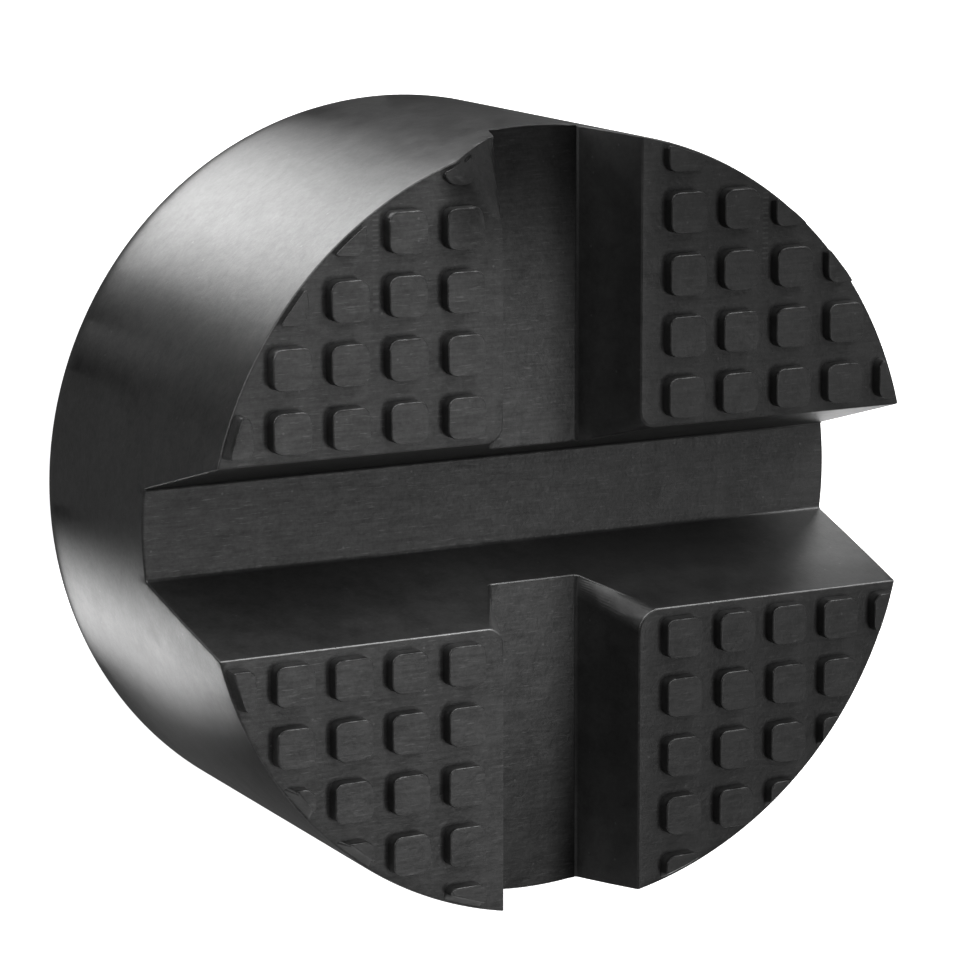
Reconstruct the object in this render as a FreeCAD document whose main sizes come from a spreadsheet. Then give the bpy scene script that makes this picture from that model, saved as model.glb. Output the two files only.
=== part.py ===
import FreeCAD, Part
import math
import os
import Sketcher

# A rubber jack pad, in millimetres: one thick moulded disc that lies on its flat base.
# Its face, on top, is crossed by a deep tapered slot along X, which takes a car's sill seam,
# and by a shallower tapered channel along Y.
# The four quarters of the face that are left carry a grid of low square studs.
# The origin is the centre of the base, and +Z runs up the disc's axis.

SIZES = (
    ("pad_diameter", 65.0, "outside diameter of the disc"),
    ("pad_height", 35.0, "from the base to the face between the studs"),
    ("base_bevel", 1.0, "bevel round the edge of the base"),
    ("rim_bevel", 0.3, "bevel round the rim of the face"),
    ("slot_depth", 13.4, "from the face to the slot's floor"),
    ("slot_floor_width", 7.7, "width of the slot at its floor"),
    ("slot_mouth_width", 15.4, "width of the slot at the face"),
    ("slot_floor_round", 0.4, "round between the slot's floor and its walls"),
    ("channel_depth", 6.9, "from the face to the channel's floor"),
    ("channel_floor_width", 8.2, "width of the channel at its floor"),
    ("channel_mouth_width", 12.8, "width of the channel at the face"),
    ("channel_floor_round", 0.3, "round between the channel's floor and its walls"),
    ("quarter_round", 1.4, "round on the inner corner of each quarter"),
    ("mouth_round", 0.3, "round on the face's edges along slot and channel"),
    ("slot_land", 0.8, "plain face between the slot and the nearest studs"),
    ("channel_land", 2.1, "plain face between the channel and the nearest studs"),
    ("stud_pitch", 5.1, "from one stud's centre to the next, both ways"),
    ("stud_width", 3.4, "side of a stud where it leaves the face"),
    ("stud_height", 1.1, "from the face to the top of a stud"),
    ("stud_corner_round", 0.8, "round on the corners of a stud, seen from above"),
    ("stud_draft", 4.0, "lean of a stud's sides, in degrees"),
    ("stud_bevel", 0.2, "height and width of the bevel round a stud's top"),
    ("stud_rim_inset", 0.4, "from the rim to the studs that it cuts short"),
    ("worn_width", 4.6, "how far the worn corner reaches along the rim from the channel"),
    ("worn_length", 6.5, "how far the worn corner reaches along the channel from the rim"),
    ("worn_depth", 3.0, "how deep the corner is worn where channel and rim meet"),
)

FLATS_PER_CORNER = 3
CLOSE = 0.001
UPRIGHT = FreeCAD.Vector(0, 0, 1)


def size_sheet(doc):
    sheet = doc.addObject("Spreadsheet::Sheet", "Sizes")
    for row, (name, value, meaning) in enumerate(SIZES, start=1):
        sheet.set(f"A{row}", name)
        sheet.set(f"B{row}", str(value))
        sheet.set(f"C{row}", meaning)
        sheet.setAlias(f"B{row}", name)
    doc.recompute()
    return sheet


def origin_part(body, role):
    return next(item for item in body.Origin.OriginFeatures if item.Role == role)


# Sketches

def sketch_on(body, name, plane, height=None):
    sketch = body.newObject("Sketcher::SketchObject", name)
    sketch.AttachmentSupport = (origin_part(body, plane), [""])
    sketch.MapMode = "FlatFace"
    if height:
        sketch.setExpression("AttachmentOffset.Base.z", height)
    return sketch


def constrain(sketch, kind, *places):
    return sketch.addConstraint(Sketcher.Constraint(kind, *places))


def bind(sketch, name, size, kind, *places):
    index = constrain(sketch, kind, *places, sketch.evalExpression(size))
    sketch.renameConstraint(index, name)
    sketch.setExpression(f"Constraints.{name}", size)


def circle(sketch, name, diameter):
    radius = sketch.evalExpression(diameter) / 2
    ring = sketch.addGeometry(Part.Circle(FreeCAD.Vector(), UPRIGHT, radius))
    constrain(sketch, "Coincident", ring, 3, -1, 1)
    bind(sketch, name, diameter, "Diameter", ring)


def chain(sketch, points):
    # Straight lines from point to point, joined end to end.
    lines = [
        sketch.addGeometry(Part.LineSegment(start, end))
        for start, end in zip(points, points[1:])
    ]
    for line, following in zip(lines, lines[1:]):
        constrain(sketch, "Coincident", line, 2, following, 1)
    return lines


def tapered_section(sketch, way):
    # The section of a way across the face: its floor, one wall, its mouth and the other wall.
    sizes = [f"Sizes.{way}_{part}" for part in ("floor_width", "mouth_width", "depth")]
    floor_width, mouth_width, depth = (sketch.evalExpression(size) for size in sizes)
    face = sketch.evalExpression("Sizes.pad_height")
    corners = [
        FreeCAD.Vector(-floor_width / 2, face - depth, 0),
        FreeCAD.Vector(floor_width / 2, face - depth, 0),
        FreeCAD.Vector(mouth_width / 2, face, 0),
        FreeCAD.Vector(-mouth_width / 2, face, 0),
    ]
    floor, wall, mouth, other_wall = chain(sketch, corners + corners[:1])
    constrain(sketch, "Coincident", other_wall, 2, floor, 1)
    constrain(sketch, "Symmetric", floor, 1, floor, 2, -2)
    constrain(sketch, "Symmetric", mouth, 1, mouth, 2, -2)
    bind(sketch, "floor_width", sizes[0], "DistanceX", floor, 1, floor, 2)
    bind(sketch, "mouth_width", sizes[1], "DistanceX", mouth, 2, mouth, 1)
    bind(sketch, "depth", sizes[2], "DistanceY", wall, 1, wall, 2)
    bind(sketch, "face_height", "Sizes.pad_height", "DistanceY", -1, 1, mouth, 1)


def rounded_square(sketch, width, corner_round, near_x, near_y):
    # A stud seen from above, with its near sides at near_x and near_y.
    # Each corner is a few equal flats along a guide arc.
    side, curve, left_x, lower_y = (
        sketch.evalExpression(size) for size in (width, corner_round, near_x, near_y)
    )
    middle = FreeCAD.Vector(left_x + side / 2, lower_y + side / 2, 0)
    straight = side / 2 - curve
    steps = range(FLATS_PER_CORNER + 1)
    sides = []
    guides = []
    corners = []
    for turned in (0, 90, 180, 270):
        turn = FreeCAD.Rotation(UPRIGHT, turned)
        start = middle + turn.multVec(FreeCAD.Vector(-straight, -side / 2, 0))
        end = middle + turn.multVec(FreeCAD.Vector(straight, -side / 2, 0))
        hub = middle + turn.multVec(FreeCAD.Vector(straight, -straight, 0))
        angles = [math.radians(turned - 90 + 90 * step / FLATS_PER_CORNER) for step in steps]
        arc = Part.ArcOfCircle(Part.Circle(hub, UPRIGHT, curve), angles[0], angles[-1])
        on_arc = [hub + FreeCAD.Vector(math.cos(angle), math.sin(angle), 0) * curve for angle in angles]
        sides.append(sketch.addGeometry(Part.LineSegment(start, end)))
        guides.append(sketch.addGeometry(arc, True))
        corners.append(chain(sketch, on_arc))
    for line, guide, flats, following in zip(sides, guides, corners, sides[1:] + sides[:1]):
        constrain(sketch, "Tangent", line, 2, guide, 1)
        constrain(sketch, "Tangent", guide, 2, following, 1)
        constrain(sketch, "Coincident", line, 2, flats[0], 1)
        constrain(sketch, "Coincident", flats[-1], 2, following, 1)
        for flat, neighbour in zip(flats, flats[1:]):
            constrain(sketch, "PointOnObject", flat, 2, guide)
            constrain(sketch, "Equal", flat, neighbour)
    for guide in guides[1:]:
        constrain(sketch, "Equal", guides[0], guide)
    lower, right, upper, left = sides
    for line in (lower, upper):
        constrain(sketch, "Horizontal", line)
    for line in (left, right):
        constrain(sketch, "Vertical", line)
    bind(sketch, "corner_round", corner_round, "Radius", guides[0])
    bind(sketch, "width", width, "DistanceX", left, 1, right, 1)
    bind(sketch, "depth", width, "DistanceY", lower, 1, upper, 1)
    bind(sketch, "near_x", near_x, "DistanceX", -1, 1, left, 1)
    bind(sketch, "near_y", near_y, "DistanceY", -1, 1, lower, 1)


def rectangle(sketch, reach):
    # A square about the sketch's origin that reaches as far each way.
    half = sketch.evalExpression(reach)
    corners = [FreeCAD.Vector(x * half, y * half, 0) for x, y in ((-1, -1), (1, -1), (1, 1), (-1, 1))]
    lower, right, upper, left = chain(sketch, corners + corners[:1])
    constrain(sketch, "Coincident", left, 2, lower, 1)
    for line in (lower, upper):
        constrain(sketch, "Horizontal", line)
    for line in (left, right):
        constrain(sketch, "Vertical", line)
    constrain(sketch, "Symmetric", lower, 1, upper, 1, -1, 1)
    bind(sketch, "width", f"2 * ({reach})", "DistanceX", lower, 1, lower, 2)
    bind(sketch, "length", f"2 * ({reach})", "DistanceY", right, 1, right, 2)


# Features

def cut_across(body, way, plane):
    section = sketch_on(body, f"{way.title()}Section", plane)
    tapered_section(section, way)
    cut = body.newObject("PartDesign::Pocket", way.title())
    cut.Profile = section
    cut.SideType = "Symmetric"
    cut.setExpression("Length", "2 * Sizes.pad_diameter")


def dress(body, kind, name, size, wanted):
    # Rounds or bevels those edges of the shape so far that the test picks.
    body.Document.recompute()
    base = body.Tip
    numbered = enumerate(base.Shape.Edges, start=1)
    feature = body.newObject(f"PartDesign::{kind}", name)
    feature.Base = (base, [f"Edge{index}" for index, edge in numbered if wanted(edge)])
    feature.setExpression("Radius" if kind == "Fillet" else "Size", f"Sizes.{size}")


def stays_at(edge, axis, place):
    # Whether the whole edge lies at one place along an axis.
    ends = [getattr(edge.BoundBox, f"{axis}{end}") for end in ("Min", "Max")]
    return all(abs(end - place) < CLOSE for end in ends)


def at_either_side(edge, axis, width):
    return stays_at(edge, axis, width / 2) or stays_at(edge, axis, -width / 2)


def on_circle(edge, radius):
    return all(abs(math.hypot(end.X, end.Y) - radius) < CLOSE for end in edge.Vertexes)


# The pad

def disc(body):
    outline = sketch_on(body, "DiscOutline", "XY_Plane")
    circle(outline, "diameter", "Sizes.pad_diameter")
    solid = body.newObject("PartDesign::Pad", "Disc")
    solid.Profile = outline
    solid.setExpression("Length", "Sizes.pad_height")


def soft_edges(body, sheet):
    face = sheet.pad_height
    slot_floor = face - sheet.slot_depth
    channel_floor = face - sheet.channel_depth
    radius = sheet.pad_diameter / 2

    def quarter_corner(edge):
        box = edge.BoundBox
        whole = abs(box.ZMin - channel_floor) < CLOSE and abs(box.ZMax - face) < CLOSE
        return whole and not on_circle(edge, radius)

    def channel_floor_side(edge):
        level = stays_at(edge, "Z", channel_floor)
        return level and at_either_side(edge, "X", sheet.channel_floor_width)

    def slot_floor_side(edge):
        level = stays_at(edge, "Z", slot_floor)
        return level and at_either_side(edge, "Y", sheet.slot_floor_width)

    def face_rim(edge):
        return stays_at(edge, "Z", face) and edge.Curve.TypeId == "Part::GeomCircle"

    def base_edge(edge):
        return stays_at(edge, "Z", 0)

    def face_mouth(edge):
        on_rim = on_circle(edge, radius - sheet.rim_bevel)
        across = edge.Curve.TypeId == "Part::GeomLine"
        return stays_at(edge, "Z", face) and (across or not on_rim)

    dress(body, "Fillet", "QuarterCorners", "quarter_round", quarter_corner)
    dress(body, "Fillet", "ChannelFloorSides", "channel_floor_round", channel_floor_side)
    dress(body, "Fillet", "SlotFloorSides", "slot_floor_round", slot_floor_side)
    dress(body, "Chamfer", "FaceRim", "rim_bevel", face_rim)
    dress(body, "Chamfer", "BaseEdge", "base_bevel", base_edge)
    dress(body, "Fillet", "FaceMouths", "mouth_round", face_mouth)


def stud(body):
    # The stud nearest the crossing of slot and channel, in the quarter where x and y are positive.
    side_height = "(Sizes.stud_height - Sizes.stud_bevel)"
    lean = f"tan(Sizes.stud_draft * 1 deg) * {side_height}"
    near_x, near_y = (
        f"Sizes.{way}_mouth_width / 2 + Sizes.{way}_land" for way in ("channel", "slot")
    )
    levels = []
    for name, height, inset in (
        ("StudFoot", "Sizes.pad_height", "0"),
        ("StudShoulder", f"Sizes.pad_height + {side_height}", lean),
        ("StudTop", "Sizes.pad_height + Sizes.stud_height", f"({lean} + Sizes.stud_bevel)"),
    ):
        level = sketch_on(body, name, "XY_Plane", height)
        width = f"Sizes.stud_width - 2 * {inset}"
        corner_round = f"Sizes.stud_corner_round - {inset}"
        rounded_square(level, width, corner_round, f"{near_x} + {inset}", f"{near_y} + {inset}")
        levels.append(level)
    body.Document.recompute()
    solid = body.newObject("PartDesign::AdditiveLoft", "Stud")
    solid.Profile = levels[0]
    solid.Sections = levels[1:]
    solid.Ruled = True
    return solid, {"X": near_x, "Y": near_y}


def stud_field(body):
    # Rows and columns of studs out to the rim, then the same in the other three quarters.
    first, near_sides = stud(body)
    steps = []
    for axis, near_side in near_sides.items():
        room = f"(Sizes.pad_diameter / 2 - Sizes.stud_rim_inset - ({near_side}))"
        row = body.newObject("PartDesign::LinearPattern", f"StudsAlong{axis}")
        row.Direction = (origin_part(body, f"{axis}_Axis"), [""])
        row.Mode = "Spacing"
        row.setExpression("Offset", "Sizes.stud_pitch")
        row.setExpression("Occurrences", f"floor({room} / Sizes.stud_pitch) + 1")
        steps.append(row)
    for name, plane in (("StudsBeyondChannel", "YZ_Plane"), ("StudsBeyondSlot", "XZ_Plane")):
        copy = body.newObject("PartDesign::Mirrored", name)
        copy.MirrorPlane = (origin_part(body, plane), [""])
        steps.append(copy)
    field = body.newObject("PartDesign::MultiTransform", "StudField")
    field.Originals = [first]
    field.Transformations = steps
    field.Refine = False
    body.Tip = field


def trim_studs(body):
    # What stands out further than the inset from the rim is cut off, down to the face.
    ring = sketch_on(body, "BeyondRim", "XY_Plane", "Sizes.pad_height")
    circle(ring, "inner", "Sizes.pad_diameter - 2 * Sizes.stud_rim_inset")
    circle(ring, "outer", "2 * Sizes.pad_diameter")
    cut = body.newObject("PartDesign::Pocket", "StudsTrimmed")
    cut.Profile = ring
    cut.Reversed = True
    cut.setExpression("Length", "2 * Sizes.stud_height")
    body.Tip = cut


def worn_corner(body, sheet):
    # The upper left quarter's corner at the rim and the channel is worn down to a slope.
    # The slope falls from the face towards the corner, and its middle is the middle of the sketch.
    across = sheet.worn_depth / sheet.worn_width
    along = sheet.worn_depth / sheet.worn_length
    outline = sketch_on(body, "WornCornerSlope", "XY_Plane")
    lean = FreeCAD.Rotation(UPRIGHT, FreeCAD.Vector(across, along, 1))
    outline.AttachmentOffset = FreeCAD.Placement(FreeCAD.Vector(), lean)
    middle = {
        "x": "-(Sizes.channel_mouth_width / 2 + Sizes.worn_width / 2)",
        "y": "Sizes.pad_diameter / 2 - Sizes.worn_length / 2 - 1",
        "z": "Sizes.pad_height",
    }
    for axis, place in middle.items():
        outline.setExpression(f"AttachmentOffset.Base.{axis}", place)
    rectangle(outline, "Sizes.worn_length")
    cut = body.newObject("PartDesign::Pocket", "WornCorner")
    cut.Profile = outline
    cut.Reversed = True
    cut.setExpression("Length", "2 * Sizes.worn_length")
    body.Tip = cut


def check(doc, body):
    for item in doc.Objects:
        if "Invalid" in item.State or "Error" in item.State:
            raise RuntimeError(f"{item.Name} is {item.State}")
    shape = body.Shape
    if shape.isNull() or not shape.isValid() or len(shape.Solids) != 1:
        raise RuntimeError(f"{body.Label} is not one valid solid")
    # Each feature has to add or take away what its kind does.
    for cut in ("Slot", "Channel", "StudsTrimmed", "WornCorner"):
        feature = doc.getObject(cut)
        if feature.Shape.Volume > feature.BaseFeature.Shape.Volume - CLOSE:
            raise RuntimeError(f"{cut} cuts nothing")


def main():
    doc = FreeCAD.newDocument("jack_pad")
    sheet = size_sheet(doc)
    body = doc.addObject("PartDesign::Body", "JackPad")
    body.Label = "jack_pad"
    disc(body)
    cut_across(body, "slot", "YZ_Plane")
    cut_across(body, "channel", "XZ_Plane")
    soft_edges(body, sheet)
    stud_field(body)
    trim_studs(body)
    worn_corner(body, sheet)
    doc.recompute()
    check(doc, body)
    os.makedirs("parts", exist_ok=True)
    body.Shape.exportStep(f"parts/{body.Label}.step")
    box = body.Shape.BoundBox
    print(f"{body.Label}: {box.XLength:.2f} x {box.YLength:.2f} x {box.ZLength:.2f} mm")
    print(f"volume {body.Shape.Volume / 1000:.2f} cm3, faces {len(body.Shape.Faces)}")


main()
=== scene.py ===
import math
import random

import bmesh
import bpy
from mathutils import Euler, Matrix, Vector
from mathutils.geometry import delaunay_2d_cdt


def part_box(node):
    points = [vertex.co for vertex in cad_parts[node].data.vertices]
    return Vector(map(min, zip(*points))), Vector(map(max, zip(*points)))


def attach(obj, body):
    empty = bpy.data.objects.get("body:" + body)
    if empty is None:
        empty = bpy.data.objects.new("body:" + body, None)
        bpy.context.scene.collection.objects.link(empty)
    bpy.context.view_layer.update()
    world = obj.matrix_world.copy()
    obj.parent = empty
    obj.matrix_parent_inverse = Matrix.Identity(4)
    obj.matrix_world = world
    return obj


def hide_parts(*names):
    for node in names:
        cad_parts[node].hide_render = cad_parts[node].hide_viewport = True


# The looks of a rubber jack pad, lying on its base with the studded face up.
# The mesh is built in millimetres, with the sizes of the CAD part, and then scaled to metres.

MM = 0.001

# Sizes of the body
SLOT = {"depth": 13.4, "floor_width": 7.7, "mouth_width": 15.4, "floor_round": 0.35}
# The channel's floor gets its rounds after the cut, as CHANNEL_FLOOR_ROUND.
CHANNEL = {"depth": 6.9, "floor_width": 8.2, "mouth_width": 12.8, "floor_round": 0.0}
CHANNEL_FLOOR_ROUND = 0.3
QUARTER_ROUND = 1.4
LOWER_RIGHT_QUARTER_ROUND = 1.9
EDGE_ROUND = 0.16
BASE_ROUND = 1.0
WORN = {"width": 4.6, "length": 6.5, "depth": 3.0, "past_rim": 1.0, "above_floor": 0.2, "blend": 0.5}

# Sizes of the studs
SLOT_LAND = 0.8
CHANNEL_LAND = 2.1
STUD_HEIGHT = 1.1
STUD_WIDTH = 3.4
STUD_PITCH = 5.1
STUD_CORNER = 0.85
STUD_LEAN = 0.03
STUD_EDGE_ROUND = 0.13
STUD_TOP_INSET = 0.12
SQUASH_MARGIN = 0.3

# How soft a stud's edge is, as a share of its round, by the side it faces
MEAN_SOFTNESS = 0.65
LEAST_SOFTNESS = 0.25
SOFT_SIDE = (-0.7, 0.7)

# Studs that the rim cuts
STUD_RIM_INSET = 0.22
RIM_BLEND = 0.2
RIM_LEAN = 0.6
LEFT_RIM_LEAN = 0.25
LEFT_RIM_X = -28.0
UPPER_RIM_LEAN = -0.3
UPPER_RIM_Y = 12.0
UPPER_LEFT_RIM_HEIGHT = 0.6
UPPER_RIGHT_RIM_HEIGHT = 0.85
UPPER_LEFT_CORNER = 1.25
LEAST_STUD_DEPTH = 0.3

# How far the studs stray from the grid and from one size
SHIFT_SPREAD = (-0.05, 0.05)
SIDE_SPREAD = (-0.06, 0.04)
CORNER_SPREAD = (-0.15, 0.12)

# How finely the mesh is divided
RIM_STEPS = 360
ROUND_STEPS = 4
CORNER_STEPS = 10
STUD_POINTS = 48
TOP_RINGS = (0.8, 0.55, 0.3)
HEART_STEPS = 16
HEART_MARGIN = 0.05
HALVINGS = 24
FINER = 6
GRID_STEP = 1.0
GRID_SPREAD = (0.3, 0.7)
GRID_CLEARANCE = 0.4
LARGEST_HOLE = 12

# What counts as the same place, no triangle, facing up, flat, an edge, and an edge in the shading
CLOSE = 0.001
SLIVER = 0.0003
FACING_UP = 0.9
FLAT_ANGLE = math.radians(0.2)
SHARP_ANGLE = math.radians(30)
SPLIT_ANGLE = math.radians(35)

# How far the cutters reach past the pad
REACH = 60.0
OVERSHOOT = 6.0

SEED = 7

# The camera's place in metres, its turn in radians, and its lens and sensor in millimetres
CAMERA_PLACE = (-0.15284, 0.06798, 0.31640)
CAMERA_TURN = (-0.1997, -0.4765, -0.0015)
CAMERA_LENS = 146.6
CAMERA_SENSOR = 36.0


def named(name, mesh):
    item = bpy.data.objects.new(name, mesh)
    bpy.context.scene.collection.objects.link(item)
    return item


def meshed(name, shape):
    # Turns the shape into an object, and frees it.
    mesh = bpy.data.meshes.new(name)
    shape.to_mesh(mesh)
    shape.free()
    return named(name, mesh)


# The body of the pad: a disc with the slot and the channel cut across it

def way_section(way, face):
    # (across, height) points of one way's section, its floor corners rounded.
    half_floor = way["floor_width"] / 2
    half_mouth = way["mouth_width"] / 2
    floor = face - way["depth"]
    steepness = math.atan2(way["depth"], half_mouth - half_floor)
    reach = OVERSHOOT / math.tan(steepness)
    right = []
    if way["floor_round"]:
        radius = way["floor_round"]
        tangent = radius * math.tan(steepness / 2)
        for step in range(ROUND_STEPS * 2 + 1):
            angle = -math.pi / 2 + steepness * step / (ROUND_STEPS * 2)
            across = half_floor - tangent + radius * math.cos(angle)
            right.append((across, floor + radius + radius * math.sin(angle)))
    else:
        right.append((half_floor, floor))
    right.append((half_mouth + reach, face + OVERSHOOT))
    left = [(-across, height) for across, height in reversed(right)]
    return right + left


def prism(section, along):
    # The section drawn out both ways along an axis, "X" or "Y".
    shape = bmesh.new()
    ends = []
    for end in (-REACH, REACH):
        if along == "X":
            ring = [shape.verts.new((end, across, height)) for across, height in section]
        else:
            ring = [shape.verts.new((across, end, height)) for across, height in section]
        ends.append(ring)
    first, last = ends
    shape.faces.new(first)
    shape.faces.new(last)
    for index in range(len(section)):
        after = (index + 1) % len(section)
        shape.faces.new((first[index], first[after], last[after], last[index]))
    bmesh.ops.recalc_face_normals(shape, faces=shape.faces)
    return meshed("cutter", shape)


def cut_disc(radius, face):
    shape = bmesh.new()
    bmesh.ops.create_cone(
        shape, cap_ends=True, segments=RIM_STEPS, radius1=radius, radius2=radius, depth=face,
        matrix=Matrix.Translation((0, 0, face / 2)),
    )
    disc = meshed("disc", shape)
    cutters = [prism(way_section(SLOT, face), "X"), prism(way_section(CHANNEL, face), "Y")]
    for cutter in cutters:
        cut = disc.modifiers.new("cut", "BOOLEAN")
        cut.operation = "DIFFERENCE"
        cut.solver = "EXACT"
        cut.object = cutter
    result = bmesh.new()
    result.from_object(disc, bpy.context.evaluated_depsgraph_get())
    for item in cutters + [disc]:
        bpy.data.objects.remove(item)
    bmesh.ops.remove_doubles(result, verts=result.verts, dist=CLOSE)
    bmesh.ops.dissolve_limit(result, angle_limit=FLAT_ANGLE, verts=result.verts, edges=result.edges)
    return result


def bevel(shape, chosen, size, steps):
    bmesh.ops.bevel(
        shape, geom=[edge for edge in shape.edges if chosen(edge)], offset=size,
        offset_type="OFFSET", segments=steps, profile=0.5, affect="EDGES", clamp_overlap=False,
    )


def level(edge, height):
    return all(abs(end.co.z - height) < CLOSE for end in edge.verts)


def round_body(shape, face):
    channel_floor = face - CHANNEL["depth"]

    def quarter_corner(edge):
        low, high = sorted(edge.verts, key=lambda end: end.co.z)
        upright = abs(low.co.z - channel_floor) < CLOSE and abs(high.co.z - face) < CLOSE
        return upright and abs(high.co.x) < CHANNEL["mouth_width"]

    def lower_right(edge):
        return edge.verts[0].co.x > 0 > edge.verts[0].co.y

    def turns_out(edge):
        return edge.is_convex and edge.calc_face_angle() > SHARP_ANGLE

    def sharp(edge):
        return edge.is_manifold and turns_out(edge)

    def channel_floor_side(edge):
        across = CHANNEL["floor_width"] / 2
        sides = [end.co.x for end in edge.verts]
        along = abs(sides[0] - sides[1]) < CLOSE and abs(abs(sides[0]) - across) < CLOSE
        return along and level(edge, channel_floor)

    def left_mouth(edge):
        # The channel's left edge is crisp.
        across = CHANNEL["mouth_width"] / 2
        return level(edge, face) and all(abs(end.co.x + across) < CLOSE for end in edge.verts)

    bevel(shape, lambda edge: quarter_corner(edge) and not lower_right(edge), QUARTER_ROUND, CORNER_STEPS)
    bevel(shape, lambda edge: quarter_corner(edge) and lower_right(edge) and turns_out(edge),
          LOWER_RIGHT_QUARTER_ROUND, CORNER_STEPS)
    bevel(shape, channel_floor_side, CHANNEL_FLOOR_ROUND, ROUND_STEPS)
    bevel(shape, lambda edge: level(edge, 0) and sharp(edge), BASE_ROUND, ROUND_STEPS)
    bevel(shape, lambda edge: sharp(edge) and not left_mouth(edge), EDGE_ROUND, ROUND_STEPS)


def slice_faces(shape, faces, axis, places):
    # Cuts the faces at each place along the axis.
    normal = Vector([float(axis == other) for other in range(3)])
    for place in places:
        # Lists without repeats, in the order of the faces
        faces = [item for item in faces if item.is_valid]
        edges = list(dict.fromkeys(edge for item in faces for edge in item.edges))
        verts = list(dict.fromkeys(end for edge in edges for end in edge.verts))
        found = bmesh.ops.bisect_plane(
            shape, geom=verts + edges + faces, dist=CLOSE / 10, plane_co=normal * place, plane_no=normal,
        )
        faces = [item for item in found["geom"] if isinstance(item, bmesh.types.BMFace)]


def slice_body(shape, radius, face):
    # Large faces are cut into strips, for even shading and for points that the wear can move.
    def above_base(item):
        return item.calc_center_median().z > CLOSE

    def inside_rim(item):
        return item.calc_center_median().xy.length < radius - 2 * EDGE_ROUND

    def by_worn_corner(item):
        middle = item.calc_center_median()
        across = CHANNEL["mouth_width"] / 2 + EDGE_ROUND
        return -across < middle.x < 0 < middle.y - SLOT["mouth_width"] / 2

    steps = int(radius / GRID_STEP)
    places = [GRID_STEP * step for step in range(-steps, steps + 1)]
    slice_faces(shape, [item for item in shape.faces if inside_rim(item) and above_base(item)], 0, places)
    slice_faces(shape, [item for item in shape.faces if by_worn_corner(item) and above_base(item)], 1, places)
    heights = [2 * GRID_STEP * step for step in range(1, int(face / GRID_STEP / 2) + 1)]
    slice_faces(shape, [item for item in shape.faces if above_base(item)], 2, heights)


# The studs

def square_distance(point, middle, side, corner):
    # How far a point lies outside a rounded square.
    over_x = abs(point.x - middle.x) - side / 2 + corner
    over_y = abs(point.y - middle.y) - side / 2 + corner
    outside = math.hypot(max(over_x, 0), max(over_y, 0))
    return outside + min(max(over_x, over_y), 0) - corner


def smooth_max(first, second, blend):
    near = max(blend - abs(first - second), 0) / blend
    return max(first, second) + near * near * blend / 4


class Stud:
    def __init__(self, middle, side, corner, limit):
        self.middle = middle
        self.side = side
        self.corner = corner
        self.limit = limit
        self.height = STUD_HEIGHT
        self.rim_lean = RIM_LEAN
        if middle.x < LEFT_RIM_X:
            self.rim_lean = LEFT_RIM_LEAN
        elif middle.y > UPPER_RIM_Y and middle.length + side / 2 > limit:
            self.rim_lean = UPPER_RIM_LEAN
            self.height = UPPER_LEFT_RIM_HEIGHT if middle.x < 0 else UPPER_RIGHT_RIM_HEIGHT
        self.heart = self.find_heart()
        self.depth = -self.distance(self.heart, 0.0, 1.0)

    def distance(self, point, inset=0.0, up=0.0):
        # How far a point lies outside the outline, moved in by the inset, and by the lean at the rim.
        own = square_distance(point, self.middle, self.side, self.corner) + inset
        lean = max(self.rim_lean * up, -self.rim_lean * (1 - up))
        return smooth_max(own, point.length - self.limit + lean + inset * 0.5, RIM_BLEND)

    def find_heart(self):
        # The mean of the points inside, on a fine grid.
        steps = [self.side * (step / HEART_STEPS - 0.5) for step in range(HEART_STEPS + 1)]
        inside = [
            point for point in (self.middle + Vector((x, y)) for x in steps for y in steps)
            if max(self.distance(point, 0.0, up) for up in (0.0, 1.0)) < -HEART_MARGIN
        ]
        if not inside:
            return self.middle * (self.limit / self.middle.length)
        return sum(inside, Vector((0, 0))) / len(inside)

    def edge_along(self, direction, inset=0.0, up=0.0):
        # Where that outline is met from the heart.
        near, far = 0.0, 2 * self.side
        for _ in range(HALVINGS):
            half = (near + far) / 2
            if self.distance(self.heart + direction * half, inset, up) < 0:
                near = half
            else:
                far = half
        return self.heart + direction * near

    def directions(self, count):
        # Directions that meet the outline at even steps.
        fine = FINER * count
        turns = [2 * math.pi * step / fine for step in range(fine + 1)]
        ways = [Vector((math.cos(turn), math.sin(turn))) for turn in turns]
        outline = [self.edge_along(way) for way in ways]
        lengths = [0.0]
        for here, there in zip(outline, outline[1:]):
            lengths.append(lengths[-1] + (there - here).length)
        found = []
        index = 0
        for step in range(count):
            wanted = lengths[-1] * step / count
            while lengths[index + 1] < wanted:
                index += 1
            found.append((outline[index] - self.heart).normalized())
        return found


def stud_profile():
    # (inset, height) from the foot up over the edge to the top.
    shoulder = STUD_HEIGHT - STUD_EDGE_ROUND
    profile = [(0.0, 0.0), (STUD_LEAN, shoulder)]
    for step in range(1, ROUND_STEPS + 1):
        angle = math.pi / 2 * step / ROUND_STEPS
        inset = STUD_LEAN + STUD_EDGE_ROUND * (1 - math.cos(angle))
        profile.append((inset, shoulder + STUD_EDGE_ROUND * math.sin(angle)))
    profile.append((STUD_LEAN + STUD_EDGE_ROUND + STUD_TOP_INSET, STUD_HEIGHT))
    return profile


def softness(direction):
    # The edges are softer on the upper left than on the lower right.
    return min(max(MEAN_SOFTNESS + direction.dot(Vector(SOFT_SIDE)), LEAST_SOFTNESS), 1.0)


def join_rings(shape, lower, upper):
    for index in range(STUD_POINTS):
        after = (index + 1) % STUD_POINTS
        shape.faces.new((lower[index], lower[after], upper[after], upper[index]))


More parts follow.
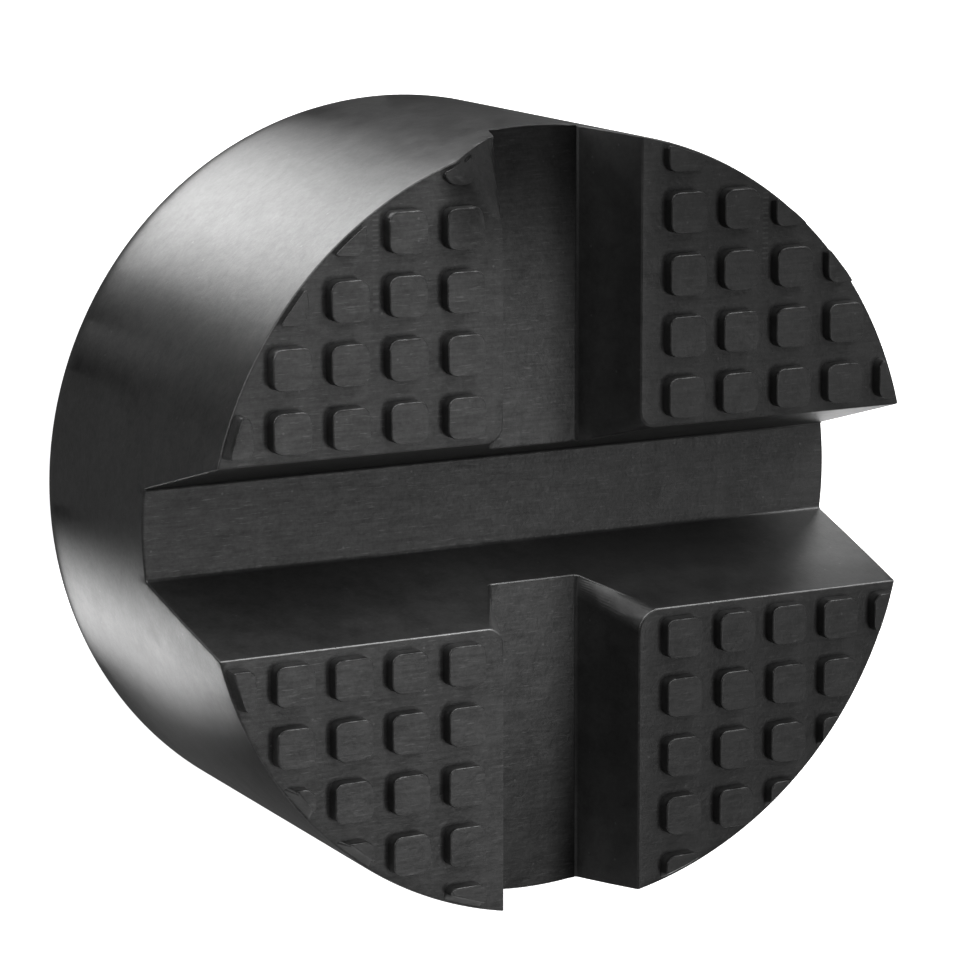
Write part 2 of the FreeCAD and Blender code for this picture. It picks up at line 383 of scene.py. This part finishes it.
def add_stud(shape, stud, face):
    # Adds the stud's skin and returns the ring of its foot.
    directions = stud.directions(STUD_POINTS)
    squash = min(1.0, stud.depth / (STUD_LEAN + STUD_EDGE_ROUND + SQUASH_MARGIN))
    rings = []
    for inset, height in stud_profile():
        up = height / STUD_HEIGHT
        points = [stud.edge_along(way, inset * squash * softness(way), up) for way in directions]
        rings.append([shape.verts.new((*point, face + up * stud.height)) for point in points])
    for lower, upper in zip(rings, rings[1:]):
        join_rings(shape, lower, upper)
    last = rings[-1]
    for part in TOP_RINGS:
        points = [stud.heart + (outer.co.xy - stud.heart) * part for outer in rings[-1]]
        ring = [shape.verts.new((*point, face + stud.height)) for point in points]
        join_rings(shape, last, ring)
        last = ring
    centre = shape.verts.new((*stud.heart, face + stud.height))
    for index in range(STUD_POINTS):
        shape.faces.new((last[index], last[(index + 1) % STUD_POINTS], centre))
    foot = rings[0]
    for index in range(STUD_POINTS):
        shape.edges.get((foot[index], foot[(index + 1) % STUD_POINTS])).smooth = False
    return foot


def quarter_studs(radius, side_x, side_y, chance):
    near_x = CHANNEL["mouth_width"] / 2 + CHANNEL_LAND + STUD_WIDTH / 2
    near_y = SLOT["mouth_width"] / 2 + SLOT_LAND + STUD_WIDTH / 2
    studs = []
    for column in range(int((radius - near_x) / STUD_PITCH) + 2):
        for row in range(int((radius - near_y) / STUD_PITCH) + 2):
            place = Vector((near_x + column * STUD_PITCH, near_y + row * STUD_PITCH))
            middle = Vector((
                side_x * place.x + chance.uniform(*SHIFT_SPREAD),
                side_y * place.y + chance.uniform(*SHIFT_SPREAD),
            ))
            side = STUD_WIDTH + chance.uniform(*SIDE_SPREAD)
            corner = STUD_CORNER + chance.uniform(*CORNER_SPREAD)
            upper_left = LEFT_RIM_X < middle.x < 0 < middle.y
            if upper_left and middle.length > radius - STUD_WIDTH / 2:
                corner = UPPER_LEFT_CORNER
            stud = Stud(middle, side, corner, radius - STUD_RIM_INSET)
            if stud.depth > LEAST_STUD_DEPTH:
                studs.append(stud)
    return studs


def fill_quarters(shape, radius, face):
    # The face of each quarter, with its studs standing on it.
    chance = random.Random(SEED)
    flats = [
        item for item in shape.faces
        if item.normal.z > FACING_UP and all(level(edge, face) for edge in item.edges)
    ]
    quarters = {}
    for item in flats:
        middle = item.calc_center_median()
        quarter = (int(math.copysign(1, middle.x)), int(math.copysign(1, middle.y)))
        quarters.setdefault(quarter, []).append(item)
    borders = {}
    for quarter, items in quarters.items():
        inside = set(items)
        borders[quarter] = [
            edge for item in items for edge in item.edges
            if not all(other in inside for other in edge.link_faces)
        ]
    bmesh.ops.delete(shape, geom=flats, context="FACES")
    for (side_x, side_y), edges in sorted(borders.items()):
        studs = quarter_studs(radius, side_x, side_y, chance)
        feet = [add_stud(shape, stud, face) for stud in studs]
        fill_between(shape, [tuple(edge.verts) for edge in edges], studs, feet, face, chance)


def within(point, sides):
    # Whether a ray from the point to +X crosses the closed outline an odd number of times.
    crossings = 0
    for first, second in sides:
        if (first.y > point.y) != (second.y > point.y):
            part = (point.y - first.y) / (second.y - first.y)
            if first.x + part * (second.x - first.x) > point.x:
                crossings += 1
    return crossings % 2 == 1


def grid_spots(border, studs, chance):
    # Points between the border and the studs, on an uneven grid.
    ends = [point for side in border for point in side]
    left, right = min(end.x for end in ends), max(end.x for end in ends)
    low, high = min(end.y for end in ends), max(end.y for end in ends)
    spots = []
    for column in range(int((right - left) / GRID_STEP) + 1):
        for row in range(int((high - low) / GRID_STEP) + 1):
            spot = Vector((
                left + (column + chance.uniform(*GRID_SPREAD)) * GRID_STEP,
                low + (row + chance.uniform(*GRID_SPREAD)) * GRID_STEP,
            ))
            clear = all(stud.distance(spot) > GRID_CLEARANCE for stud in studs)
            if clear and within(spot, border) and min((spot - end).length for end in ends) > GRID_CLEARANCE:
                spots.append(spot)
    return spots


def fill_between(shape, border, studs, feet, face, chance):
    # Fills a quarter's face between its border and the feet of its studs with even triangles.
    foot_sides = [list(zip(foot, foot[1:] + foot[:1])) for foot in feet]
    ends = []
    places = {}
    sides = []
    for pair in border + [pair for sides_of in foot_sides for pair in sides_of]:
        for end in pair:
            if end not in places:
                places[end] = len(ends)
                ends.append(end)
        sides.append((places[pair[0]], places[pair[1]]))
    border_flat = [(first.co.xy, second.co.xy) for first, second in border]
    feet_flat = [[(first.co.xy, second.co.xy) for first, second in sides_of] for sides_of in foot_sides]
    points = [end.co.xy for end in ends] + grid_spots(border_flat, studs, chance)
    found, _, triangles, origins, _, _ = delaunay_2d_cdt(points, sides, [], 0, CLOSE / 100)
    corners = []
    for spot, origin in zip(found, origins):
        if origin and origin[0] < len(ends):
            corners.append(ends[origin[0]])
        else:
            corners.append(shape.verts.new((*spot, face)))
    for triangle in triangles:
        first, second, third = (found[index] for index in triangle)
        if abs((second - first).cross(third - first)) < SLIVER:
            continue
        middle = (first + second + third) / 3
        near = [
            outline for stud, outline in zip(studs, feet_flat) if (stud.middle - middle).length < STUD_WIDTH
        ]
        if within(middle, border_flat) and not any(within(middle, outline) for outline in near):
            shape.faces.new([corners[index] for index in triangle])


def wear_corner(shape, radius, face):
    # The upper left quarter's corner at the rim and the channel is worn down to a slope.
    middle_x = -(CHANNEL["mouth_width"] + WORN["width"]) / 2
    middle_y = radius - WORN["length"] / 2 - WORN["past_rim"]
    lowest = face - CHANNEL["depth"] + WORN["above_floor"]
    for vert in shape.verts:
        if vert.co.x < 0 < vert.co.y and vert.co.z > lowest:
            fall = (vert.co.x - middle_x) / WORN["width"] + (vert.co.y - middle_y) / WORN["length"]
            slope = face - WORN["depth"] * fall
            vert.co.z = -smooth_max(-vert.co.z, -slope, WORN["blend"])


def build_pad(radius, face):
    shape = cut_disc(radius, face)
    round_body(shape, face)
    slice_body(shape, radius, face)
    fill_quarters(shape, radius, face)
    bmesh.ops.remove_doubles(shape, verts=shape.verts, dist=2 * CLOSE)
    open_edges = [edge for edge in shape.edges if edge.is_boundary]
    bmesh.ops.holes_fill(shape, edges=open_edges, sides=LARGEST_HOLE)
    bmesh.ops.recalc_face_normals(shape, faces=shape.faces)
    for item in shape.faces:
        item.smooth = True
    for edge in shape.edges:
        if edge.is_manifold and edge.calc_face_angle() > SPLIT_ANGLE:
            edge.smooth = False
    wear_corner(shape, radius, face)
    shape.transform(Matrix.Scale(MM, 4))
    bmesh.ops.triangulate(shape, faces=[item for item in shape.faces if len(item.verts) > 4])
    pad = meshed("moulded_rubber", shape)
    weighted = pad.modifiers.new("flats stay flat", "WEIGHTED_NORMAL")
    weighted.mode = "FACE_AREA"
    weighted.weight = 90
    weighted.keep_sharp = True
    return pad


# Shader nodes

class Graph:
    # A short way to add shader nodes and join them.
    def __init__(self, tree):
        self.tree = tree

    def node(self, kind, inputs, **settings):
        item = self.tree.nodes.new(kind)
        for name, value in settings.items():
            setattr(item, name, value)
        for place, value in inputs.items():
            if isinstance(value, bpy.types.NodeSocket):
                self.tree.links.new(value, item.inputs[place])
            else:
                item.inputs[place].default_value = value
        return item

    def math(self, operation, *values, clamp=False):
        inputs = dict(enumerate(values))
        return self.node("ShaderNodeMath", inputs, operation=operation, use_clamp=clamp).outputs[0]

    def product(self, *values):
        result = values[0]
        for value in values[1:]:
            result = self.math("MULTIPLY", result, value)
        return result

    def add_shares(self, start, shares):
        # The start and each value times its share, added up.
        for value, share in shares:
            start = self.math("MULTIPLY_ADD", value, share, start)
        return start

    def ramp(self, value, start, end, low=0.0, high=1.0):
        # Low up to the start, high from the end on, and smooth between them.
        inputs = {"Value": value, "From Min": start, "From Max": end, "To Min": low, "To Max": high}
        kind = "SMOOTHSTEP"
        return self.node("ShaderNodeMapRange", inputs, interpolation_type=kind).outputs[0]

    def near(self, value, middle, reach, soft):
        # One within reach of the middle, zero further out.
        off = self.math("ABSOLUTE", self.math("SUBTRACT", value, middle))
        return self.ramp(off, reach, reach - soft)

    def axes(self, vector):
        return self.node("ShaderNodeSeparateXYZ", {0: vector}).outputs

    def stretched(self, place, by):
        return self.node("ShaderNodeVectorMath", {0: place, 1: by}, operation="MULTIPLY").outputs[0]

    def noise(self, place, scale, detail, roughness):
        # Noise about zero, with a spread of about one.
        inputs = {"Vector": place, "Scale": scale, "Detail": detail, "Roughness": roughness}
        value = self.node("ShaderNodeTexNoise", inputs).outputs["Fac"]
        return self.math("MULTIPLY", self.math("SUBTRACT", value, 0.5), 8.0)

    def specks(self, place, scale, size, share):
        # Round dots, in a share of the cells.
        cell = self.node("ShaderNodeTexVoronoi", {"Vector": place, "Scale": scale})
        dot = self.ramp(cell.outputs["Distance"], size, size * 0.4)
        pick = self.node("ShaderNodeSeparateColor", {"Color": cell.outputs["Color"]}).outputs["Red"]
        return self.math("MULTIPLY", dot, self.math("LESS_THAN", pick, share))

    def rungs(self, across, along, middle, width, start, end, spacing):
        # A row of short pale marks, one above the other.
        row = self.near(across, middle, width / 2, width / 4)
        run = self.near(along, (start + end) / 2, (end - start) / 2, 0.3)
        wave = self.math("SINE", self.math("MULTIPLY", along, 2 * math.pi / spacing))
        return self.product(row, run, self.ramp(wave, 0.1, 0.9))

    def seen_directly(self):
        # One for the camera and for mirrored and refracted rays, zero for light on other surfaces.
        rays = self.node("ShaderNodeLightPath", {}).outputs
        seen = self.math("MAXIMUM", rays["Is Camera Ray"], rays["Is Glossy Ray"])
        return self.math("MAXIMUM", seen, rays["Is Transmission Ray"])


# The rubber. Places are in millimetres; shares are parts of the plain rubber's shine and colour.

PLAIN_SPECULAR = 0.5
PLAIN_COLOUR = 0.014
PLAIN_ROUGHNESS = 0.42
BUMP_DISTANCE = 0.00004
# (middle, start, end, spacing) of each row of pale marks between the studs
MARKS = ((-17.7, 22.8, 27.2, 0.4), (-17.7, 18.9, 21.4, 0.64), (18.15, 20.7, 26.9, 0.42))
MARK_WIDTH = 0.7


def painted_face_light(graph, across, along, height, flat):
    # Painted highlight and shade: the face is painted brighter and shinier on the left and darker on the
    # right and upper right. The channel's floor is painted brighter near the slot and darker far from it. It
    # is also darker near its right side, as a painted reflection of the dark wall there.
    face = graph.ramp(across, -5.0, 9.0, 0.05, -0.28)
    upper_right = graph.product(graph.ramp(across, 0.0, 12.0), graph.ramp(along, 14.0, 30.0))
    face = graph.product(graph.math("MULTIPLY_ADD", upper_right, -0.2, face), graph.ramp(height, 30.0, 33.0))
    far_off = graph.ramp(graph.math("ABSOLUTE", along), 8.0, 32.0, 0.2, -0.3)
    far_off = graph.math("ADD", far_off, graph.ramp(across, 0.6, 4.2, 0.0, -0.6))
    channel_floor = graph.product(graph.ramp(height, 30.0, 28.5), graph.ramp(height, 26.0, 27.5), flat)
    return graph.math("MULTIPLY_ADD", far_off, channel_floor, face)


def rubber():
    material = bpy.data.materials.new("black_rubber")
    material.use_nodes = True
    graph = Graph(material.node_tree)
    shader = material.node_tree.nodes["Principled BSDF"]
    place = graph.node("ShaderNodeTexCoord", {}).outputs["Object"]
    place = graph.stretched(place, (1 / MM, 1 / MM, 1 / MM))
    across, along, height = graph.axes(place)
    _, facing_y, facing_z = graph.axes(graph.node("ShaderNodeNewGeometry", {}).outputs["True Normal"])
    flat = graph.ramp(facing_z, 0.6, 0.95)

    grain = graph.noise(place, 2.6, 5.0, 0.7)
    blotch = graph.noise(place, 0.33, 3.0, 0.55)
    cloud = graph.noise(place, 0.9, 2.0, 0.5)
    streak = graph.noise(graph.stretched(place, (0.35, 3.4, 1.6)), 1.0, 4.0, 0.65)
    scratch = graph.ramp(graph.noise(graph.stretched(place, (0.8, 7.0, 3.0)), 1.0, 3.0, 0.6), 0.7, 1.7)
    specks = graph.specks(place, 1.1, 0.16, 0.12)
    calmer = graph.ramp(across, -4.0, 12.0, 1.0, 0.65)

    # Painted shade: the studs' upper edges are painted darker and less shiny in patches, so that their
    # highlight shows only here and there.
    shaded_stud_edges = graph.product(graph.ramp(facing_y, 0.1, 0.4), graph.ramp(height, 35.6, 35.95))
    shade_patches = graph.ramp(graph.noise(place, 1.3, 2.0, 0.5), -0.5, 0.5)

    # Painted shade, partly the wear's own dullness: the worn corner and the channel's end beside it are
    # painted darker and less shiny.
    worn_and_shaded = graph.product(
        graph.near(across, -4.0, 9.0, 3.0), graph.ramp(along, 18.0, 31.0), graph.ramp(facing_z, 0.3, 0.6),
    )

    # Painted highlight: the slot's lower lip is painted brighter and shinier.
    lip_highlight = graph.product(
        graph.ramp(facing_y, 0.15, 0.4), graph.ramp(facing_y, 0.93, 0.8), graph.near(along, -6.9, 1.7, 0.4),
    )

    tone = graph.add_shares(graph.math("MULTIPLY", grain, 0.09), (
        (blotch, 0.07), (cloud, 0.06),
        (graph.product(streak, flat), 0.11), (graph.product(scratch, flat), 0.6),
    ))
    tone = graph.add_shares(graph.product(tone, calmer), (
        (specks, 0.6), (graph.product(shaded_stud_edges, shade_patches), -0.55),
    ))
    for middle, start, end, spacing in MARKS:
        marks = graph.rungs(across, along, middle, MARK_WIDTH, start, end, spacing)
        tone = graph.add_shares(tone, [(marks, 0.45)])
    # The painted highlight and shade of the face and the channel's floor scale the tone.
    painted_light = painted_face_light(graph, across, along, height, flat)
    tone = graph.product(
        graph.math("ADD", tone, 1.0), graph.math("ADD", painted_light, 1.0),
        graph.math("MULTIPLY_ADD", worn_and_shaded, -0.68, 1.0), graph.math("ADD", lip_highlight, 1.0),
    )

    grey = graph.math("MULTIPLY", tone, PLAIN_COLOUR)
    colour = graph.node("ShaderNodeCombineColor", {"Red": grey, "Green": grey, "Blue": grey})
    relief = graph.math("MULTIPLY_ADD", grain, 0.5, graph.math("MULTIPLY", blotch, 1.2))
    strength = graph.math("MULTIPLY_ADD", flat, 0.17, 0.08)
    bump = {"Strength": strength, "Distance": BUMP_DISTANCE, "Height": relief}
    shown = {
        "Specular IOR Level": graph.math("MULTIPLY", tone, PLAIN_SPECULAR, clamp=True),
        "Base Color": colour.outputs[0],
        "Roughness": graph.math("MULTIPLY_ADD", blotch, 0.02, PLAIN_ROUGHNESS),
        "Normal": graph.node("ShaderNodeBump", bump).outputs[0],
    }
    for name, value in shown.items():
        graph.tree.links.new(value, shader.inputs[name])
    return material


# Stage, lamps and camera. All sizes and places here are in metres, and a brightness of 1 is white.

FLOOR_REACH = 3.0
FLOOR_SEEN = 0.97
FLOOR_COLOUR = (0.8, 0.8, 0.8, 1)
WORLD_LIGHT = 0.3
WORLD_SEEN = 1.25
CARD_TURN = 10
WALL_TOP = 0.0352
GLOW_STEPS = 24
GLOW_NARROWING = 0.2
GLOW_LIFT = 0.0006


def flat_sheet(name, corners):
    shape = bmesh.new()
    shape.faces.new([shape.verts.new(corner) for corner in corners])
    return meshed(name, shape)


def bare_graph(sheet, name):
    # A new material on the sheet, with no nodes yet.
    material = bpy.data.materials.new(name)
    material.use_nodes = True
    material.node_tree.nodes.clear()
    sheet.data.materials.append(material)
    return Graph(material.node_tree)


def white_floor():
    corners = [(x * FLOOR_REACH, y * FLOOR_REACH, 0) for x, y in ((-1, -1), (1, -1), (1, 1), (-1, 1))]
    floor = flat_sheet("floor", corners)
    graph = bare_graph(floor, "white_floor")
    strength = graph.math("MULTIPLY", graph.seen_directly(), FLOOR_SEEN)
    glow = graph.node("ShaderNodeEmission", {"Strength": strength})
    matt = graph.node("ShaderNodeBsdfDiffuse", {"Color": FLOOR_COLOUR})
    both = graph.node("ShaderNodeAddShader", {0: glow.outputs[0], 1: matt.outputs[0]})
    graph.node("ShaderNodeOutputMaterial", {"Surface": both.outputs[0]})


def white_world():
    world = bpy.data.worlds.new("studio")
    bpy.context.scene.world = world
    world.use_nodes = True
    graph = Graph(world.node_tree)
    shade = world.node_tree.nodes["Background"]
    shade.inputs["Color"].default_value = (1, 1, 1, 1)
    inputs = {"Value": graph.seen_directly(), "To Min": WORLD_LIGHT, "To Max": WORLD_SEEN}
    strength = graph.node("ShaderNodeMapRange", inputs)
    graph.tree.links.new(strength.outputs[0], shade.inputs["Strength"])


def card(name, corners, brightness):
    # A sheet of even brightness that only the pad's surface mirrors.
    sheet = flat_sheet(name, corners)
    graph = bare_graph(sheet, name)
    light = graph.node("ShaderNodeEmission", {"Strength": brightness})
    graph.node("ShaderNodeOutputMaterial", {"Surface": light.outputs[0]})
    sheet.visible_camera = False
    sheet.visible_shadow = False
    sheet.visible_diffuse = False


def level_card(name, sides_x, sides_y, height, brightness):
    (left, right), (near, far) = sides_x, sides_y
    corners = [(left, near, height), (right, near, height), (right, far, height), (left, far, height)]
    card(name, corners, brightness)


def upright_card(name, start, end, low, high, brightness):
    card(name, [(*start, low), (*end, low), (*end, high), (*start, high)], brightness)


def ring_of_cards(name, first, last, radius, low, high, brightness):
    # Upright cards side by side around the pad, from the first azimuth to the last.
    for azimuth in range(first, last, CARD_TURN):
        start, end = (
            (radius * math.cos(math.radians(turn)), radius * math.sin(math.radians(turn)))
            for turn in (azimuth, azimuth + CARD_TURN)
        )
        upright_card(f"{name}_{azimuth}", start, end, low, high, brightness)


def lamp(name, azimuth, elevation, distance, width, height, brightness, aim=(0, 0, 0.02)):
    # A soft panel that looks at the aim.
    data = bpy.data.lights.new(name, "AREA")
    data.shape = "RECTANGLE"
    data.size = width
    data.size_y = height
    data.energy = brightness * math.pi * width * height
    item = named(name, data)
    turn = math.radians(azimuth)
    rise = math.radians(elevation)
    way = Vector((math.cos(turn) * math.cos(rise), math.sin(turn) * math.cos(rise), math.sin(rise)))
    item.location = Vector(aim) + way * distance
    item.rotation_euler = way.to_track_quat("Z", "Y").to_euler()
    item.visible_camera = False
    return item


def mirrored_on_floor(azimuth, height, radius):
    # The place on the floor that the camera sees mirrored in the side wall.
    turn = math.radians(azimuth)
    outward = Vector((math.cos(turn), math.sin(turn), 0))
    place = outward * radius + Vector((0, 0, height))
    sight = (Vector(CAMERA_PLACE) - place).normalized()
    bounce = 2 * outward.dot(sight) * outward - sight
    return place - bounce * (place.z / bounce.z)


def floor_glow(name, radius, middle, before, after, brightness, top, outer):
    # A soft light sheet that lies on the floor where the side wall mirrors it.
    # It fades out before and after the middle azimuth, and is narrower where the wall's top mirrors it.
    # Top is its share of the brightness there, and outer its share beyond what the wall mirrors.
    shape = bmesh.new()
    glow = shape.verts.layers.float.new("glow")
    # (height of the wall that mirrors it, share of the brightness)
    shares = [(0.0012, 0.95), (0.010, 1.0), (0.020, 1.0), (0.028, (1 + top) / 2), (WALL_TOP, top),
              (0.0353, 0.0), (0.046, 0.0), (0.0465, outer), (0.090, outer)]
    rows = []
    for step in range(GLOW_STEPS + 1):
        turn = middle - before + (before + after) * step / GLOW_STEPS
        reach = before if turn < middle else after
        row = []
        for height, share in shares:
            narrowed = reach * (1 - GLOW_NARROWING * min(height / WALL_TOP, 1))
            fall = 0.5 + 0.5 * math.cos(math.pi * min(abs(turn - middle) / narrowed, 1))
            place = mirrored_on_floor(turn, height, radius)
            vert = shape.verts.new((place.x, place.y, GLOW_LIFT))
            vert[glow] = brightness * fall * share
            row.append(vert)
        rows.append(row)
    for row, following in zip(rows, rows[1:]):
        for index in range(len(shares) - 1):
            shape.faces.new((row[index], row[index + 1], following[index + 1], following[index]))
    bmesh.ops.recalc_face_normals(shape, faces=shape.faces)
    sheet = meshed(name, shape)
    graph = bare_graph(sheet, name)
    reader = graph.node("ShaderNodeAttribute", {}, attribute_name="glow")
    light = graph.node("ShaderNodeEmission", {"Strength": reader.outputs["Fac"]})
    graph.node("ShaderNodeOutputMaterial", {"Surface": light.outputs[0]})
    sheet.visible_camera = False
    sheet.visible_shadow = False


def camera():
    data = bpy.data.cameras.new("camera")
    data.lens = CAMERA_LENS
    data.sensor_width = CAMERA_SENSOR
    data.clip_start = 0.01
    item = named("camera", data)
    # It starts straight above, looking down with +Y up, and leans over to -X and +Y.
    item.rotation_mode = "ZXY"
    item.rotation_euler = Euler(CAMERA_TURN, "ZXY")
    item.location = CAMERA_PLACE
    bpy.context.scene.camera = item


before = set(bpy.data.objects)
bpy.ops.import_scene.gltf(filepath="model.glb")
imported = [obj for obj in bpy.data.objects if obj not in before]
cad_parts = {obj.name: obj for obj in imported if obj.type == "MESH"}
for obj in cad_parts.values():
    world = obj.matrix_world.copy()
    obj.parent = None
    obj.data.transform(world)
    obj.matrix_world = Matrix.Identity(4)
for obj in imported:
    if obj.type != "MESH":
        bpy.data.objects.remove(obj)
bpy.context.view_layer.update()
low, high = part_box("jack_pad")
pad_radius = (high.x - low.x) / 2 / MM
pad_face = high.z / MM - STUD_HEIGHT

pad = build_pad(pad_radius, pad_face)
pad.data.materials.append(rubber())
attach(pad, "root")
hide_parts("jack_pad")

white_floor()

# What the slot's walls and the lower side wall mirror
level_card("floor_card", (-0.15, 0.03), (-0.12, 0.12), height=0.0003, brightness=0.17)
level_card("upper_card", (0.0, 0.03), (0.028, 0.12), height=0.0004, brightness=0.06)
level_card("near_right_card", (0.058, 0.10), (-0.12, 0.12), height=0.0003, brightness=0.25)
level_card("right_floor_card", (0.10, 0.30), (-0.35, 0.35), height=0.0003, brightness=0.2)

# What the face, the rounds and the studs' flanks mirror
level_card("overhead_flag", (-0.35, 0.30), (-0.50, 0.35), height=0.335, brightness=0.02)
upright_card("right_flag", (0.30, -0.5), (0.30, 0.35), low=0.0, high=0.335, brightness=0.5)
ring_of_cards("left_flag", 85, 215, radius=0.3, low=0.0, high=0.28, brightness=0.05)
ring_of_cards("rim_card", 95, 165, radius=0.29, low=0.12, high=0.18, brightness=14.0)

white_world()
lamp("low_softbox", 59, 19, distance=0.45, width=0.32, height=0.26, brightness=9.5)
floor_glow("glow_upper", pad_radius * MM, 132, before=29, after=21, brightness=6.1, top=1.3, outer=1.6)
floor_glow("glow_between", pad_radius * MM, 152, before=8, after=9, brightness=0.5, top=0.8, outer=0.0)
floor_glow("glow_lower", pad_radius * MM, 196.5, before=15, after=13, brightness=4.4, top=2.3, outer=0.0)
lamp(
    "overhead_window", 0, 90, distance=0.33, width=0.09, height=0.12, brightness=6.0,
    aim=(0.092, -0.055, 0.0),
)
soft_fill = lamp("high_softbox", 95, 55, distance=0.60, width=0.30, height=0.30, brightness=8.0)
soft_fill.visible_glossy = False
camera()
bpy.context.scene.view_settings.view_transform = "Standard"
